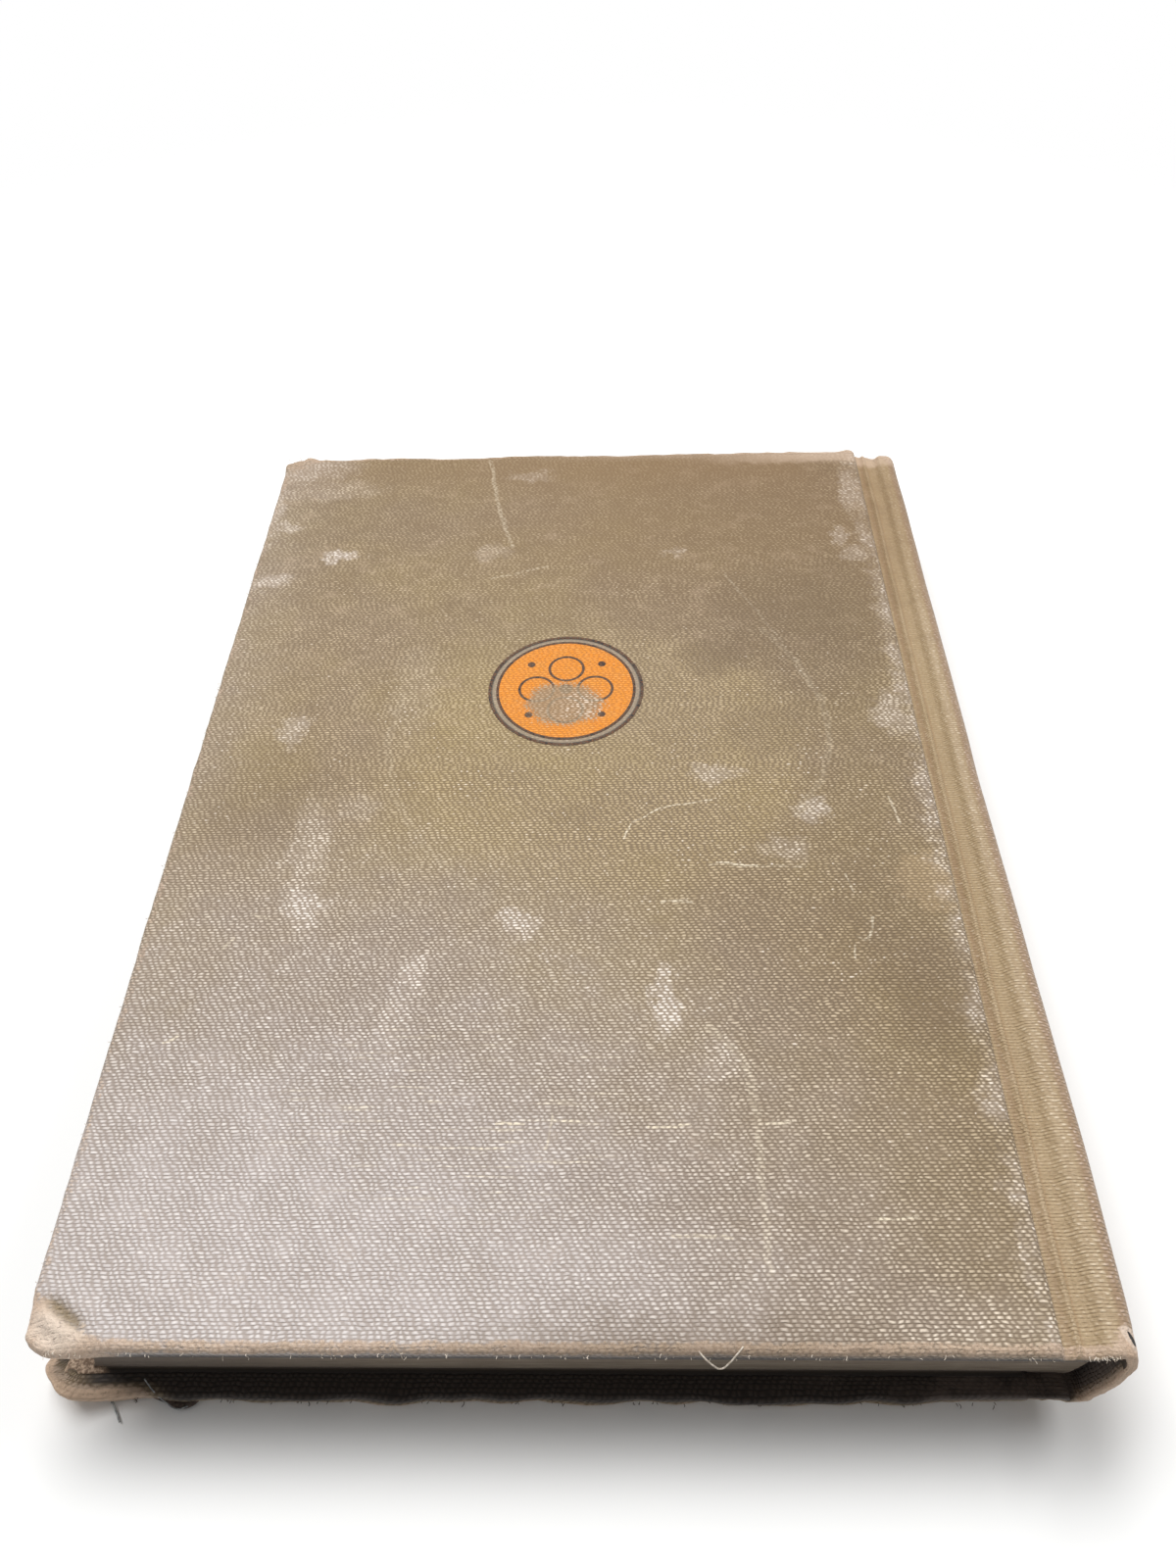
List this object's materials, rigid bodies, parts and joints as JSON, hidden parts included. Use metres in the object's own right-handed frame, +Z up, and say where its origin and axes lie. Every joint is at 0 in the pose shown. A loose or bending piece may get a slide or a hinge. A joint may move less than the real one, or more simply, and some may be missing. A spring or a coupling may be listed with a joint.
{
  "type": "hardback book",
  "caption": "Worn cloth-bound hardback book, closed and lying flat, with two hinged covers, a rounded hollow spine and a round stamped ornament on the back cover.",
  "frame": {"origin": "under the middle of the closed book's box, on the surface that the front cover lies on", "axes": "+X towards the spine, +Y towards the head, +Z up through the book to the back cover"},
  "size_m": [0.1334, 0.184, 0.02],
  "materials": {
    "book_cloth": "coarse worn olive-tan weave",
    "board": "grey-brown millboard",
    "leaves": "aged trimmed page edges",
    "endpaper": "aged plain paper",
    "mull": "open-weave lining cloth",
    "lining_paper": "brown lining paper",
    "inlay_card": "thin card",
    "orange_print": "stamped opaque orange, worn",
    "dark_print": "stamped dark slate, worn"
  },
  "bodies": {
    "text_block": {"text_block": "leaves", "front_flyleaf": "endpaper", "back_flyleaf": "endpaper", "mull": "mull", "spine_lining": "lining_paper", "spine_inlay": "inlay_card", "spine_cloth": "book_cloth"},
    "back_cover": {"back_board": "board", "back_cloth": "book_cloth", "back_pastedown": "endpaper", "roundel_field": "orange_print", "roundel_rings": "dark_print", "roundel_ornament": "dark_print"},
    "front_cover": {"front_board": "board", "front_cloth": "book_cloth", "front_pastedown": "endpaper"}
  },
  "joints": [
    {"name": "back_joint", "type": "hinge", "parent": "text_block", "child": "back_cover", "pos_m": [0.05685, 0, 0.0201], "axis": [0, 1, 0], "range_deg": [0, 178]},
    {"name": "front_joint", "type": "hinge", "parent": "text_block", "child": "front_cover", "pos_m": [0.05685, 0, -0.0001], "axis": [0, -1, 0], "range_deg": [0, 178]}
  ]
}
